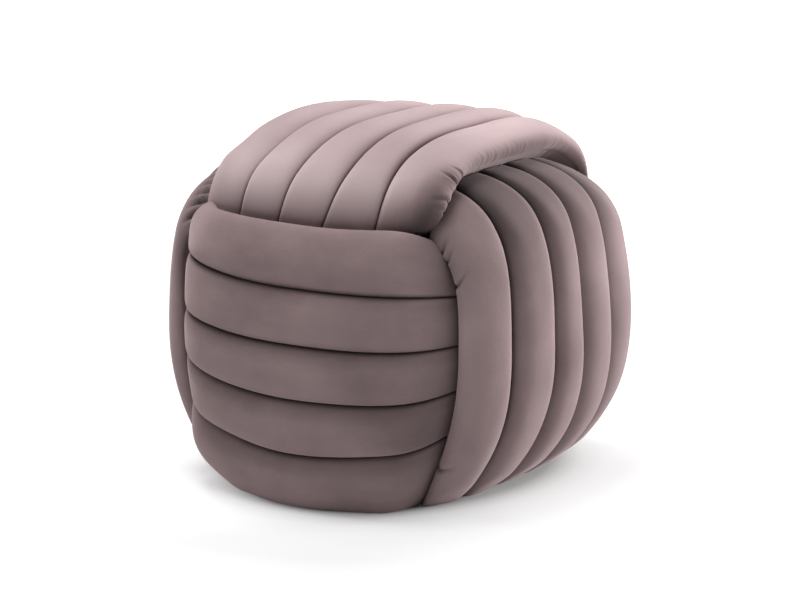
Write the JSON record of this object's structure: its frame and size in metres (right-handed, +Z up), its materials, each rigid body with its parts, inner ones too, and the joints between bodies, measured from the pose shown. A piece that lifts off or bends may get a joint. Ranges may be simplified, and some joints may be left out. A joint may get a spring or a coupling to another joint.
{
  "type": "braided pouf",
  "caption": "Filled velvet pouf, a rounded cube of channel-quilted panels that pass over and under each other at the edges, on a flat base. A low seat or footrest.",
  "frame": {"origin": "on the floor, at the middle of the base", "axes": "+Z up, the front panel faces -Y and the top panel's channels run along Y"},
  "size_m": [0.5, 0.4996, 0.432],
  "materials": {
    "velvet": "short-pile velvet, dusty mauve",
    "base_fabric": "plain woven cloth, dark"
  },
  "bodies": {
    "root": {"panel_top": "velvet", "panel_front": "velvet", "panel_back": "velvet", "panel_right": "velvet", "panel_left": "velvet", "base_cloth": "base_fabric"}
  },
  "joints": []
}
